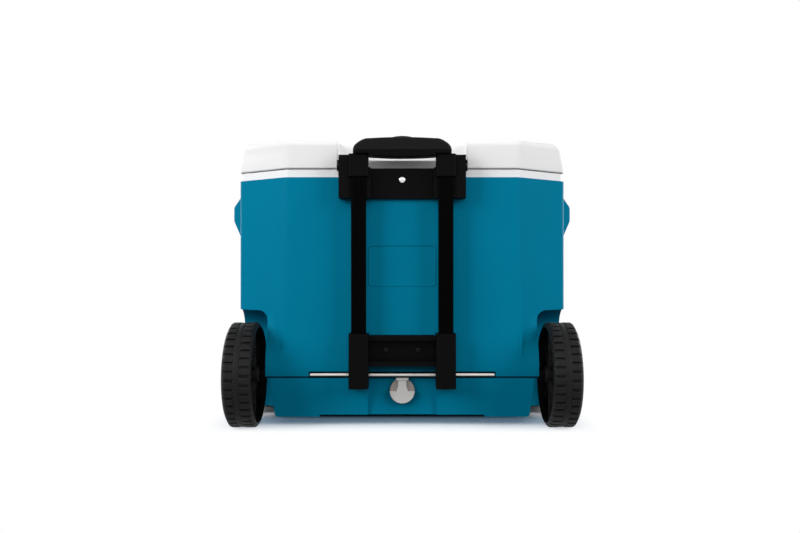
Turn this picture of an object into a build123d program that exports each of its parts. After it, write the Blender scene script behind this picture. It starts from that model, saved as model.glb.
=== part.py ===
from build123d import *
from math import radians, tan
import os

# A wheeled cooler box with a telescoping tow handle.
# Frame: +X to the right seen from the tow handle, +Y towards the front, +Z up,
# origin on the floor at the middle of the footprint. Lengths in millimetres.

# ---- Body, driving sizes -------------------------------------------------------
body_w = 556.0           # across the straight sides
body_d = 374.0           # rear panel to front panel
facet_x = 88.0           # a corner facet's run across the body
facet_y = 70.0           # and its run along the side
facet_r = 20.0           # rounding where a facet meets a panel
shell_top = 407.0        # top edge of the coloured shell
shell_wall = 3.0
seat_lip = 13.0          # width of the shell's turned-in top edge
rear_base_z = 15.2       # underside of the rear half
base_corner_w = 142.5    # each rear corner; between them the underside is a little higher
base_arch_z = 18.8
base_r = 6.0             # rounding of the rear corners, seen from the rear
base_step_y = 187.0      # from the rear panel to where the front base starts
front_base_z = 6.0
foot_in, foot_w, foot_l = 110.0, 92.0, 128.0   # front feet, middles in from the sides
foot_front_in = 24.0     # their front edges, in from the front panel
foot_r = 14.0
foot_taper = 20.0        # degrees
block_up, block_slope = 13.0, 62.0   # axle block: its square part over the axle line, its top's slope
label_w, label_h, label_r = 109.0, 67.0, 7.0   # raised frame of the bare label field
label_line, label_proud = 2.0, 0.8
label_down = 143.5       # its middle, under the shell's top

# ---- Wheels and axle ------------------------------------------------------------
wheel_d = 170.0
wheel_w = 47.5
wheel_out = 2.8          # outer face of a wheel, past the body's side
axle_in = 7.5            # axle line, inside the rear panel
axle_d = 8.0
axle_clear = 0.08        # running clearance of the wheel bore, radial
tunnel_clear = 0.3       # play of the rod in its channel, radial
slot_in = 127.0          # ends of the open part of the channel, in from the sides
slot_h = 10.6            # height of the opening
well_gap, well_front_gap = 18.5, 29.0    # wheel to the well's roof, and to its front wall
well_corner_r = 40.0     # between roof and front wall
well_side_gap = 10.3     # wheel to the well's inner wall
well_r = 17.0            # rounding between the inner wall and the others
lug_count = 38
lug_h, lug_w = 3.0, 10.8
band_out, band_in = 19.0, 28.6   # smooth band of the tread, in from the wheel's outer face
rim_t = 5.0
web_in, web_t = 11.0, 4.0
web_slope = 6.0          # rim and web meet in a slope
rim_lip, rim_chamfer = 10.0, 4.0
rib_count, rib_t = 8, 3.0
spoke_w, spoke_h = 14.0, 5.0
hub_short = 4.0          # hub's outer end, in from the wheel's outer face
end_play = 0.2           # spacer and push nut, to each side of what they hold apart
rod_proud = 2.6          # rod, past the hub

# ---- Lower rear panel and drain --------------------------------------------------
low_slope_in = 10.0      # the rear panel slopes in under the axle block, down to the base
seam_h, seam_depth = 2.7, 2.0    # groove across it, up from the axle slot's lower edge
tuck_top_in, tuck_low_in = 7.1, 14.5    # lower body beside the wheels, in from the well
recess_half_x = 56.0     # drain recess
recess_in = 3.0          # past the foot of the slope
drain_down = 27.0        # drain, under the axle line
drain_d = 41.0
drain_tube_d = 20.0
drain_bore_d = 16.0

drain_flange_t, gasket_t = 3.0, 1.5
cap_t = 3.0
cap_hub_r, cap_stem_w = 9.5, 14.0
cap_hinge_up = 19.0      # cap hinge, over the drain's middle
cap_knuckle = 1.3        # wall round the hinge pin
cap_ear_t = 3.0
spout_in = 3.0           # spout, past the rounding of the tub's floor
cap_pin_d = 2.5
cap_plug_l = 3.0

# ---- Liner ------------------------------------------------------------------------
rim_h = 13.0
rim_in = 3.5             # rim, in from the shell's face
insulation = 24.0        # shell face to tub cavity at the mouth
tub_floor_down = 9.0     # tub floor, under the drain's middle
tub_wall = 2.4
tub_taper = 1.0          # degrees
tub_floor_r = 16.0
foam_gap = 0.3

# ---- Lid ----------------------------------------------------------------------------
lid_gap = 1.0
lid_edge_h = 46.0        # lid height at its front and rear edges
lid_crown = 5.0          # and how much higher its middle is
lid_end_r = 28.0
lid_top_r = 14.0
lid_wall = 2.8
lid_lip_y = 8.0          # finger lip at the front
lid_lip_half_x = 70.0
lid_lip_h = 15.0
lid_low_r = 2.6          # rounding of the lower edge, so that it clears the rim as it swings
notch_side_gap = 4.5     # rear notch that clears the stowed grip, past the upper bracket
notch_band_y = 16.0      # notch, lower wall in from the rear face
notch_band_h = 15.0
notch_floor_y = 46.0
notch_top_y = 58.0
notch_top_gap = 2.0      # height of the notch's upright last part, under the lid's top
cup_d, cup_depth = 84.0, 22.0
cup_in, cup_y = 113.0, 60.0      # cup holders, in from the sides and front of the middle
cup_taper = 2.0          # degrees
pivot_in = 6.0           # lid pivot, inside the rear face
pivot_up = 13.0          # and above the rim
pin_d = 6.0
pin_clear = 0.08
pin_depth = 14.0         # pin's length in the lid
plug_h = 9.0             # lid liner's plug, down into the tub
plug_gap = 3.5
plug_taper = 2.0         # degrees
seal_w = 4.0             # sealing bead under the lid, over the shell's turned-in edge
seal_notch_gap = 10.0    # it stops this far from the notch
seal_back = 30.0

# ---- Tow handle ------------------------------------------------------------------------
tube_x = 70.0            # tube centres
tube_w, tube_t, tube_wall = 24.0, 16.0, 1.5
tube_r = 3.0
tube_low_up = 6.0        # tubes' lower ends, over the lower bracket's underside
collar_cap = 4.0         # collar's top over the outer tube
inner_w, inner_t, inner_wall, inner_r = 12.0, 9.0, 1.2, 2.0
slide_clear = 0.3        # all round between the sliding pieces
fit = 0.1                # all round between pieces pushed together
bush_up, bush_h = 1.0, 30.0      # bush, over the outer tube's lower end
bush_socket = 15.0       # how far the inner tube sits in its bush
foot_half_w = 15.75      # lower bracket feet
foot_h, foot_down = 88.0, 19.0   # their height, and how far they go under the axle line
bracket_wall = 5.0       # behind the tubes
bar_up, bar_h = 35.5, 49.1       # bar between the feet, over their underside
bar_flange = 8.0
upper_h = 49.2           # upper bracket's plate
upper_up = 0.7           # its top over the rim
upper_past = 32.0        # its half width, past the tube centres
ear_r = 7.5
toe_gap = 0.5            # toes beside the lid's notch
toe_back, toe_in, toe_low, toe_up = 4.0, 2.0, 3.0, 6.0
collar_half_w = 16.0
collar_h, collar_up = 36.0, 22.0 # collar, its top over the rim
collar_wall = 3.0        # in front of and behind the tube
grip_t = 31.0
grip_gap = 2.5           # grip to the body's rear face
grip_past = 8.8          # grip's half length, past the tube centres
grip_h = 26.0            # over the collars
grip_drop, grip_bow = 4.0, 2.0   # between the collars it hangs lower, and bows down
grip_top_drop = 2.0      # crown of its top
grip_wall = 2.6
grip_split_up = 6.0      # joint of its halves, over the collars
grip_edge_r, grip_low_r = 5.0, 2.0   # rounding along the grip, and along its lower edge
grip_corner_w, grip_corner_h, grip_corner_r = 23.0, 13.0, 12.0   # its sloping upper corners
grip_ceiling = 4.6       # thickness over the release yoke
button_half_x, button_half_y = 17.0, 8.0
button_proud = 2.3
button_stroke = 2.6
button_r, button_side = 4.0, 2.1     # corner radius, and height of its sides over the grip
flange_h, flange_w = 1.9, 2.5    # button's flange, held under the ceiling
touch = 0.1              # between pieces that lie on each other
yoke_h, yoke_t = 3.0, 6.0
rod_w = 3.4              # release rods, square
lock_r = 3.0             # lock pins
lock_travel = 1.5
lock_rise = 9.0          # lock pins, above the bush's lower end
groove_depth, groove_w = 0.8, 7.0
lock_nose_in = 4.0       # where a pin's square body turns round
slack = 0.6              # loose room round rods and pins
spring_half_x, spring_t, spring_w = 28.0, 0.6, 6.0
spring_seat = 4.0

# ---- Fasteners and brackets ------------------------------------------------------------------
screw_d = 4.6
screw_len = 10.0         # past the rear panel's face
upper_screw_down = 18.7  # under the upper bracket's top
lower_screw_x = 27.0
plate_t = 6.5            # bracket plates
rib_past = 4.0           # bracket ribs and flanges, past the tube centres
rib_w, ear_rib_w = 7.0, 3.0
upper_head_d, upper_head_h = 10.0, 2.8
lower_head_d, lower_head_h = 9.0, 2.6
recess_w = 1.2           # arms of the cross recess

grip_screw_d = 3.5
grip_screw_in, grip_screw_y = 25.0, 8.6
grip_screw_up = 0.4      # their heads, over the bow's ends
spacer_d = 18.0          # axle spacers
nut_d, nut_t = 16.0, 1.8 # push nuts
hub_r = 13.0

# ---- Side handles --------------------------------------------------------------------------
side_grip_out = 24.0
side_grip_len = 150.0
side_grip_down, side_grip_h = 11.0, 101.0     # under the shell's top
side_slope_top, side_slope_low = 30.0, 49.5
pocket_in, pocket_wall, pocket_h, pocket_r = 1.0, 5.0, 57.0, 8.0
pocket_end = 34.0        # pocket's ends, in from the handle's

# ---- Worked out from the sizes above ---------------------------------------------------------
wheel_r = wheel_d / 2
axle_z = wheel_r
half_w = body_w / 2
wheel_inner_x = half_w + wheel_out - wheel_w
well_x = wheel_inner_x - well_side_gap
tuck_top_x, tuck_low_x = well_x - tuck_top_in, well_x - tuck_low_in
foot_x, cup_x, base_arch_x = half_w - foot_in, half_w - cup_in, half_w - base_corner_w
step_z = axle_z - slot_h / 2
block_z = axle_z + block_up
drain_z = axle_z - drain_down
cap_hinge_z = drain_z + cap_hinge_up
tub_floor_z = drain_z - tub_floor_down
label_z = shell_top - label_down
side_grip_top_z = shell_top - side_grip_down
side_grip_low_z = side_grip_top_z - side_grip_h
rear = (wheel_r - axle_in - body_d - lid_lip_y) / 2
front = rear + body_d
axle_y = rear + axle_in
mid_y = (rear + front) / 2
rim_top = shell_top + rim_h
lid_low = rim_top + lid_gap
lid_edge_z = lid_low + lid_edge_h
lid_top = lid_edge_z + lid_crown
well_roof_z = wheel_d + well_gap
well_front_y = axle_y + wheel_r + well_front_gap
pivot_y, pivot_z = rear + pivot_in, rim_top + pivot_up
tube_y = rear - grip_gap - grip_t / 2
bracket_out = rear - tube_y + tube_t / 2 + bracket_wall
rib_out = rear - tube_y + rib_past
foot_low_z = axle_z - foot_down
foot_top_z = foot_low_z + foot_h
bar_low_z = foot_low_z + bar_up
bar_top_z = bar_low_z + bar_h
lower_screw_z = (bar_low_z + bar_top_z) / 2
tube_low_z = foot_low_z + tube_low_up
bush_low_z = tube_low_z + bush_up
upper_half_x = tube_x + upper_past
ear_in_x = tube_x + collar_half_w + slide_clear
notch_half_x = upper_half_x + notch_side_gap
upper_plate_z = rim_top + upper_up
upper_low_z = upper_plate_z - upper_h
upper_screw_z = upper_plate_z - upper_screw_down
ear_top_z = pivot_z + ear_r
collar_top_z = rim_top + collar_up
collar_low_z = collar_top_z - collar_h
grip_end_z = collar_top_z
grip_mid_z, grip_split_z = grip_end_z - grip_drop - grip_bow, grip_end_z + grip_split_up
grip_top_z = grip_end_z + grip_h
grip_half_x = tube_x + grip_past
bow_x = tube_x - collar_half_w - slide_clear
grip_screw_x = tube_x - grip_screw_in
recess_y = rear + low_slope_in + recess_in
sides = (("left", -1), ("right", 1))
far = 1000.0             # longer than anything here, for cuts that run out

os.makedirs("parts", exist_ok=True)


def save(piece, name, colour):
    """Labels a finished piece and writes it to its own file."""
    piece.part.label = name
    piece.part.color = Color(*colour)
    export_step(piece.part, "parts/" + name + ".step")


teal = (0.0, 0.42, 0.55)
white = (0.93, 0.93, 0.92)
black = (0.04, 0.04, 0.045)
steel = (0.72, 0.71, 0.68)
foam = (0.9, 0.85, 0.6)
grey = (0.78, 0.79, 0.78)


# ---- Outline and forms shared by several pieces -------------------------------------------------

def soften(edges, radius, plain):
    """Rounds edges by radius, or where nothing shows cuts them flat along the same rounding."""
    if plain:
        chamfer(edges, radius * (2 - 2 ** 0.5))
    else:
        fillet(edges, radius)


def plan(inset):
    """The eight-sided outline of body and lid, drawn in by inset, for the calling plane."""
    with BuildSketch(mode=Mode.PRIVATE) as outline:
        with BuildLine():
            Polyline(
                (half_w - facet_x, rear), (half_w, rear + facet_y),
                (half_w, front - facet_y), (half_w - facet_x, front),
                (facet_x - half_w, front), (-half_w, front - facet_y),
                (-half_w, rear + facet_y), (facet_x - half_w, rear), close=True)
        make_face()
        fillet(outline.vertices(), facet_r)
        if inset:
            offset(amount=-inset)
    return outline.sketch


def wheel_wells(grow):
    """Both wheel wells as solids, larger by grow: flat roof and front wall, open to rear and floor."""
    with BuildPart(mode=Mode.PRIVATE) as wells:
        with BuildSketch(Plane.YZ.offset(well_x - grow)) as side_view:
            with Locations((well_front_y + grow, well_roof_z + grow)):
                Rectangle(far, far, align=(Align.MAX, Align.MAX))
            fillet(side_view.vertices().group_by(Axis.X)[-1].sort_by(Axis.Y)[-1], well_corner_r + grow)
        extrude(amount=far)
        soften(wells.faces().sort_by(Axis.X)[0].edges(), well_r + grow, grow)
        mirror(about=Plane.YZ)
    return wells.part


def lower_tucks(grow):
    """What the lower rear body gives up beside the wheels: all round its shape seen from the rear."""
    with BuildPart(mode=Mode.PRIVATE) as tucks:
        with BuildSketch(Plane.XZ.offset(-(well_front_y - well_r + grow))):
            with Locations((0, step_z + grow)):
                Rectangle(far, far, align=(Align.CENTER, Align.MAX))
            with BuildSketch(mode=Mode.PRIVATE) as kept:
                slope = (tuck_top_x - tuck_low_x) / (step_z - rear_base_z)
                with BuildLine():
                    Polyline(
                        (-tuck_low_x, rear_base_z), (tuck_low_x, rear_base_z),
                        (tuck_top_x + slope * well_r, step_z + well_r),
                        (-tuck_top_x - slope * well_r, step_z + well_r), close=True)
                make_face()
                fillet(kept.vertices().group_by(Axis.Y)[0], base_r)
                if grow:
                    offset(amount=-grow)
            add(kept.sketch, mode=Mode.SUBTRACT)
        extrude(amount=far)
    return tucks.part


def body_form(inset, top=shell_top):
    """The body's outer form up to top, drawn in by inset on every other face."""
    with BuildPart(mode=Mode.PRIVATE) as form:
        with BuildSketch(Plane.XY.offset(front_base_z + inset)):
            add(plan(inset))
        extrude(amount=top - front_base_z - inset)
        with BuildSketch(Plane.YZ):
            with BuildLine():
                top_z = block_z + facet_y * tan(radians(block_slope))
                Polyline((rear, block_z), (rear + facet_y, top_z), (rear + facet_y, 0), (rear, 0),
                         close=True)
            make_face()
            if inset:
                offset(amount=-inset)
        extrude(amount=well_x, both=True)
        with BuildSketch(Plane.XY):
            with Locations((0, rear + base_step_y + inset)):
                Rectangle(far, far, align=(Align.CENTER, Align.MAX))
        extrude(amount=rear_base_z + inset, mode=Mode.SUBTRACT)
        with BuildSketch(Plane.XY):
            with Locations((0, rear + base_step_y + inset)):
                Rectangle(2 * (base_arch_x + inset), far, align=(Align.CENTER, Align.MAX))
        extrude(amount=base_arch_z + inset, mode=Mode.SUBTRACT)
        with BuildSketch(Plane.YZ) as low_slope:
            slope = low_slope_in / (block_z - rear_base_z)
            with BuildLine():
                Polyline((rear, block_z), (rear + slope * block_z, 0), (rear - facet_y, 0),
                         (rear - facet_y, block_z), close=True)
            make_face()
            with Locations((rear + slope * (block_z - step_z) + seam_depth, step_z)):
                Rectangle(facet_y, seam_h, align=(Align.MAX, Align.MIN))
            if inset:
                offset(amount=inset)
        extrude(amount=well_x + inset, both=True, mode=Mode.SUBTRACT)
        with BuildSketch(Plane.XY):
            with Locations((0, recess_y + inset)):
                Rectangle(2 * (recess_half_x + inset), far, align=(Align.CENTER, Align.MAX))
        extrude(amount=step_z + inset, mode=Mode.SUBTRACT)
        add(wheel_wells(inset), mode=Mode.SUBTRACT)
        add(lower_tucks(inset), mode=Mode.SUBTRACT)
        with BuildSketch(Plane.YZ):
            with Locations((axle_y, axle_z)):
                Circle(axle_d / 2 + tunnel_clear + inset)
        extrude(amount=wheel_inner_x, both=True, mode=Mode.SUBTRACT)
    return form.part


def tub_form(grow):
    """The space inside the tub, larger by grow, from its floor to the rim's top."""
    with BuildPart(mode=Mode.PRIVATE) as form:
        with BuildSketch(Plane.XY.offset(rim_top)):
            add(plan(insulation - grow))
        extrude(amount=-(rim_top - tub_floor_z + grow), taper=tub_taper)
        soften(form.faces().sort_by(Axis.Z)[0].edges(), tub_floor_r + grow, grow)
        add(wheel_wells(insulation - grow), mode=Mode.SUBTRACT)
    return form.part


def lid_form(inset, low_r=0):
    """The lid's form drawn in by inset, where outline, side view and front view meet."""
    with BuildPart(mode=Mode.PRIVATE) as form:
        with BuildSketch(Plane.XY.offset(lid_low)):
            add(plan(inset))
        extrude(amount=lid_top - inset - lid_low)
        soften(form.faces().sort_by(Axis.Z)[-1].edges(), lid_top_r - inset, inset)
        if low_r:
            fillet(form.faces().sort_by(Axis.Z)[0].edges(), low_r)
        with BuildSketch(Plane.YZ):
            y0, y1 = rear + inset, front - inset
            z0, z1 = lid_low, lid_edge_z - inset
            with BuildLine():
                Line((y0, z0), (y0, z1))
                ThreePointArc((y0, z1), (mid_y, lid_top - inset), (y1, z1))
                Line((y1, z1), (y1, z0))
                Line((y1, z0), (y0, z0))
            make_face()
        extrude(amount=far, both=True, mode=Mode.INTERSECT)
        with BuildSketch(Plane.XZ) as front_view:
            with Locations((0, lid_low)):
                Rectangle(body_w - 2 * inset, lid_top - inset - lid_low,
                          align=(Align.CENTER, Align.MIN))
            fillet(front_view.vertices().group_by(Axis.Y)[-1], lid_end_r - inset)
        extrude(amount=far, both=True, mode=Mode.INTERSECT)
    return form.part


def lid_notch(grow):
    """The notch in the lid's rear that leaves room for the grip, larger by grow."""
    with BuildPart(mode=Mode.PRIVATE) as notch:
        with BuildSketch(Plane.YZ):
            with BuildLine():
                Polyline(
                    (rear - far, lid_low - far / 50), (rear + notch_band_y + grow, lid_low - far / 50),
                    (rear + notch_band_y + grow, lid_low + notch_band_h - grow),
                    (rear + notch_floor_y + grow, lid_low + notch_band_h - grow),
                    (rear + notch_top_y + grow, lid_top - notch_top_gap),
                    (rear + notch_top_y + grow, lid_top + far / 50),
                    (rear - far, lid_top + far / 50), close=True)
            make_face()
        extrude(amount=notch_half_x + grow, both=True)
    return notch.part


# ---- Outer shell -------------------------------------------------------------------------------------

def side_grips():
    """The two moulded lifting handles: a ridge on each side, tapered at its ends, hollow below."""
    with BuildPart(mode=Mode.PRIVATE) as grips:
        with BuildSketch(Plane.XZ.offset(-mid_y)) as ridge:
            with BuildLine():
                Polyline(
                    (half_w - shell_wall, side_grip_top_z), (half_w, side_grip_top_z),
                    (half_w + side_grip_out, side_grip_top_z - side_slope_top),
                    (half_w + side_grip_out, side_grip_low_z + side_slope_low),
                    (half_w, side_grip_low_z), (half_w - shell_wall, side_grip_low_z), close=True)
            make_face()
            fillet(ridge.vertices().group_by(Axis.X)[-1], side_grip_out / 2)
        extrude(amount=side_grip_len / 2, both=True)
        with BuildSketch(Plane.XY.offset(side_grip_low_z)) as outline:
            with Locations((half_w, mid_y)):
                Trapezoid(side_grip_len, 2 * side_grip_out, 60, rotation=-90)
            fillet(outline.vertices().group_by(Axis.X)[-1], side_grip_out / 3)
        extrude(amount=side_grip_top_z - side_grip_low_z, mode=Mode.INTERSECT)
        with BuildSketch(Plane.XZ.offset(-mid_y)) as pocket:
            with Locations((half_w + pocket_in, side_grip_low_z)):
                Rectangle(side_grip_out - pocket_in - pocket_wall, pocket_h,
                          align=(Align.MIN, Align.MIN))
            fillet(pocket.vertices().group_by(Axis.Y)[-1], pocket_r)
        extrude(amount=side_grip_len / 2 - pocket_end, both=True, mode=Mode.SUBTRACT)
        mirror(about=Plane.YZ)
    return grips.part


with BuildPart() as outer_shell:
    add(body_form(0))
    add(side_grips())
    add(body_form(shell_wall, shell_top - shell_wall), mode=Mode.SUBTRACT)
    with BuildSketch(Plane.XY.offset(shell_top)):
        add(plan(seat_lip))
    extrude(amount=-2 * shell_wall, mode=Mode.SUBTRACT)
    with BuildSketch(Plane.XY.offset(front_base_z)):
        foot_y = front - foot_front_in - foot_l / 2
        with Locations((-foot_x, foot_y), (foot_x, foot_y)):
            RectangleRounded(foot_w, foot_l, foot_r)
    extrude(amount=-front_base_z, taper=foot_taper)
    with BuildSketch(Plane.XZ.offset(-axle_y)):
        with Locations((0, axle_z)):
            SlotOverall(2 * (half_w - slot_in), slot_h)
    extrude(amount=far, mode=Mode.SUBTRACT)
    with BuildSketch(Plane.XZ.offset(-rear)):
        with Locations((0, label_z)):
            RectangleRounded(label_w, label_h, label_r)
            RectangleRounded(label_w - 2 * label_line, label_h - 2 * label_line, label_r - label_line,
                             mode=Mode.SUBTRACT)
    extrude(amount=label_proud)
    with BuildSketch(Plane.XZ.offset(-(rear + insulation))):
        with Locations((0, drain_z)):
            Circle(drain_tube_d / 2 + fit)
        with Locations((0, upper_screw_z)):
            Circle(screw_d / 2)
        with Locations((-lower_screw_x, lower_screw_z), (lower_screw_x, lower_screw_z)):
            Circle(screw_d / 2)
    extrude(amount=far, mode=Mode.SUBTRACT)
save(outer_shell, "outer_shell", teal)


# ---- Inner liner and body foam ---------------------------------------------------------------------

with BuildPart() as inner_liner:
    add(tub_form(tub_wall))
    with BuildSketch(Plane.XY.offset(shell_top)):
        add(plan(rim_in))
    extrude(amount=rim_h)
    add(tub_form(0), mode=Mode.SUBTRACT)
    with BuildSketch(Plane.XZ.offset(-mid_y)):
        with Locations((0, drain_z)):
            Circle(drain_tube_d / 2 + fit)
    extrude(amount=far, mode=Mode.SUBTRACT)
save(inner_liner, "inner_liner", white)

with BuildPart() as body_foam:
    add(body_form(shell_wall + foam_gap, shell_top - shell_wall - foam_gap))
    add(tub_form(tub_wall + foam_gap), mode=Mode.SUBTRACT)
    with BuildSketch(Plane.XZ.offset(-mid_y)):
        with Locations((0, drain_z)):
            Circle(drain_tube_d / 2 + foam_gap)
    extrude(amount=far, mode=Mode.SUBTRACT)
    with BuildSketch(Plane.XZ.offset(-(rear + screw_len + 2))):
        with Locations((0, upper_screw_z), (-lower_screw_x, lower_screw_z), (lower_screw_x, lower_screw_z)):
            Circle(screw_d / 2 + foam_gap)
    extrude(amount=far, mode=Mode.SUBTRACT)
save(body_foam, "body_foam", foam)


# ---- Lid ----------------------------------------------------------------------------------------------

def cup_wells(grow):
    """Two round cup holders sunk into the lid's top, larger by grow."""
    with BuildPart(mode=Mode.PRIVATE) as cups:
        with BuildSketch(Plane.XY.offset(lid_top - cup_depth - grow)):
            with Locations((-cup_x, mid_y + cup_y), (cup_x, mid_y + cup_y)):
                Circle(cup_d / 2 + grow)
        extrude(amount=far / 5, taper=-cup_taper)
    return cups.part


def pin_bosses(radius, length):
    """Cylinders on the lid's pivot line, from the notch's side walls outwards into the lid."""
    with BuildPart(mode=Mode.PRIVATE) as bosses:
        with BuildSketch(Plane.YZ.offset(notch_half_x - notch_side_gap)):
            with Locations((pivot_y, pivot_z)):
                Circle(radius)
        extrude(amount=length + notch_side_gap)
        mirror(about=Plane.YZ)
    return bosses.part


with BuildPart() as lid_shell:
    add(lid_form(0, lid_low_r))
    with BuildSketch(Plane.XY.offset(lid_low)) as lip:
        with Locations((0, front)):
            Rectangle(2 * lid_lip_half_x, 2 * lid_lip_y)
        fillet(lip.vertices().group_by(Axis.Y)[-1], lid_lip_y - 1)
    extrude(amount=lid_lip_h)
    add(lid_notch(0), mode=Mode.SUBTRACT)
    with BuildPart(mode=Mode.PRIVATE) as hollow:
        add(lid_form(lid_wall))
        add(lid_notch(lid_wall), mode=Mode.SUBTRACT)
        add(cup_wells(lid_wall), mode=Mode.SUBTRACT)
        add(pin_bosses(pin_d / 2 + lid_wall, pin_depth + lid_wall), mode=Mode.SUBTRACT)
    add(hollow.part, mode=Mode.SUBTRACT)
    add(cup_wells(0), mode=Mode.SUBTRACT)
    add(pin_bosses(pin_d / 2 + pin_clear, pin_depth), mode=Mode.SUBTRACT)
save(lid_shell, "lid_shell", white)

with BuildPart() as lid_liner:
    with BuildSketch(Plane.XY.offset(lid_low)):
        add(plan(lid_wall + fit))
    extrude(amount=lid_wall)
    add(lid_notch(lid_wall + fit), mode=Mode.SUBTRACT)
    add(pin_bosses(pin_d / 2 + lid_wall + fit, pin_depth + lid_wall + fit), mode=Mode.SUBTRACT)
    with BuildSketch(Plane.XY.offset(lid_low)):
        add(plan(seat_lip - seal_w))
        add(plan(seat_lip), mode=Mode.SUBTRACT)
        with Locations((0, rear)):
            Rectangle(2 * (notch_half_x + seal_notch_gap), 2 * seal_back, mode=Mode.SUBTRACT)
    extrude(amount=slide_clear - lid_gap)
    with BuildSketch(Plane.XY.offset(lid_low)):
        add(plan(insulation + plug_gap))
    extrude(amount=-plug_h, taper=plug_taper)
    with BuildSketch(Plane.XY.offset(lid_low + lid_wall)):
        add(plan(insulation + plug_gap + lid_wall))
    extrude(amount=-plug_h, taper=plug_taper, mode=Mode.SUBTRACT)
save(lid_liner, "lid_liner", white)

with BuildPart() as lid_foam:
    add(lid_form(lid_wall + foam_gap))
    add(lid_notch(lid_wall + foam_gap), mode=Mode.SUBTRACT)
    add(cup_wells(lid_wall + foam_gap), mode=Mode.SUBTRACT)
    add(pin_bosses(pin_d / 2 + lid_wall + foam_gap, pin_depth + lid_wall + foam_gap), mode=Mode.SUBTRACT)
    with BuildSketch(Plane.XY.offset(lid_low + lid_wall + foam_gap)):
        Rectangle(far, far)
    extrude(amount=-far, mode=Mode.SUBTRACT)
save(lid_foam, "lid_foam", foam)

for name, side in sides:
    with BuildPart() as hinge_pin:
        with BuildSketch(Plane.YZ.offset(side * ear_in_x)):
            with Locations((pivot_y, pivot_z)):
                Circle(pin_d / 2)
        extrude(amount=side * (notch_half_x - ear_in_x + pin_depth - slack))
        chamfer(hinge_pin.edges().sort_by(Axis.X)[-1 if side > 0 else 0], pin_d / 8)
    save(hinge_pin, "hinge_pin_" + name, black)


# ---- Tow handle brackets ------------------------------------------------------------------------------

def mirrored_boxes(x0, x1, y0, y1, z0, z1):
    """A block and its mirror image on the other side of the middle, for the calling part."""
    with BuildPart(mode=Mode.PRIVATE) as blocks:
        with BuildSketch(Plane.XY.offset(z0)):
            with Locations(((x0 + x1) / 2, (y0 + y1) / 2), (-(x0 + x1) / 2, (y0 + y1) / 2)):
                Rectangle(x1 - x0, y1 - y0)
        extrude(amount=z1 - z0)
    return blocks.part


tube_back = tube_y + tube_t / 2          # the tubes' face towards the body
rib_in_x = tube_x - tube_w / 2 - slide_clear
rib_out_x = tube_x + tube_w / 2 + slide_clear

with BuildPart() as upper_bracket:
    with BuildSketch(Plane.XZ.offset(-rear)) as plate:
        with Locations((0, upper_low_z)):
            Rectangle(2 * upper_half_x, upper_plate_z - upper_low_z, align=(Align.CENTER, Align.MIN))
    extrude(amount=plate_t)
    rib_top_z = collar_low_z - slide_clear
    add(mirrored_boxes(rib_in_x - rib_w, ear_in_x, tube_back + slide_clear, rear,
                       upper_low_z, rib_top_z))
    add(mirrored_boxes(rib_in_x - rib_w, rib_in_x, rear - rib_out, rear, upper_low_z, rib_top_z))
    add(mirrored_boxes(rib_in_x - rib_w, rib_in_x - rib_w + ear_rib_w, rear - rib_out, rear,
                       upper_low_z, upper_plate_z))
    add(mirrored_boxes(rib_out_x, ear_in_x, rear - rib_out, rear, upper_low_z, rib_top_z))
    with BuildSketch(Plane.YZ.offset(ear_in_x)):
        with Locations((rear, upper_low_z)):
            Rectangle(rib_out + toe_in, ear_top_z - upper_low_z, align=(Align.MAX, Align.MIN))
        with Locations((rear - toe_in, rim_top + slide_clear)):
            Rectangle(pivot_in + toe_in, ear_top_z - rim_top - slide_clear, align=(Align.MIN, Align.MIN))
        with Locations((pivot_y, pivot_z)):
            Circle(ear_r)
    ears = extrude(amount=upper_half_x - ear_in_x)
    add(mirror(ears, about=Plane.YZ))
    add(mirrored_boxes(upper_half_x - toe_in, notch_half_x - toe_gap, rear - toe_back, rear + toe_in,
                       rim_top - toe_low, rim_top + toe_up))
    with BuildSketch(Plane.YZ):
        with Locations((pivot_y, pivot_z)):
            Circle(pin_d / 2)
    extrude(amount=notch_half_x, both=True, mode=Mode.SUBTRACT)
    with BuildSketch(Plane.XZ.offset(-rear)):
        with Locations((0, upper_screw_z)):
            Circle(screw_d / 2 + fit)
    extrude(amount=plate_t, mode=Mode.SUBTRACT)
save(upper_bracket, "upper_bracket", black)

with BuildPart() as lower_bracket:
    for side in (-1, 1):
        with BuildSketch(Plane.XY.offset(foot_low_z)):
            with Locations((side * tube_x, rear)):
                Rectangle(2 * foot_half_w, bracket_out, align=(Align.CENTER, Align.MAX))
        extrude(amount=foot_top_z - foot_low_z)
    fillet(lower_bracket.edges().filter_by(Axis.Z).group_by(Axis.Y)[0], bracket_wall / 2)
    with BuildSketch(Plane.XZ.offset(-rear)):
        with Locations((0, bar_low_z)):
            Rectangle(2 * tube_x, bar_h, align=(Align.CENTER, Align.MIN))
    extrude(amount=rib_out)
    with BuildSketch(Plane.XZ.offset(-(rear - plate_t))) as channel:
        with Locations((0, lower_screw_z)):
            Rectangle(2 * (tube_x - foot_half_w), bar_h - 2 * bar_flange)
    extrude(amount=rib_out, mode=Mode.SUBTRACT)
    with BuildSketch(Plane.XY.offset(tube_low_z)):
        with Locations((-tube_x, tube_y), (tube_x, tube_y)):
            RectangleRounded(tube_w + 2 * fit, tube_t + 2 * fit, tube_r)
    extrude(amount=far, mode=Mode.SUBTRACT)
    with BuildSketch(Plane.XZ.offset(-rear)):
        with Locations((-lower_screw_x, lower_screw_z), (lower_screw_x, lower_screw_z)):
            Circle(screw_d / 2 + fit)
    extrude(amount=plate_t, mode=Mode.SUBTRACT)
save(lower_bracket, "lower_bracket", black)


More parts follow.
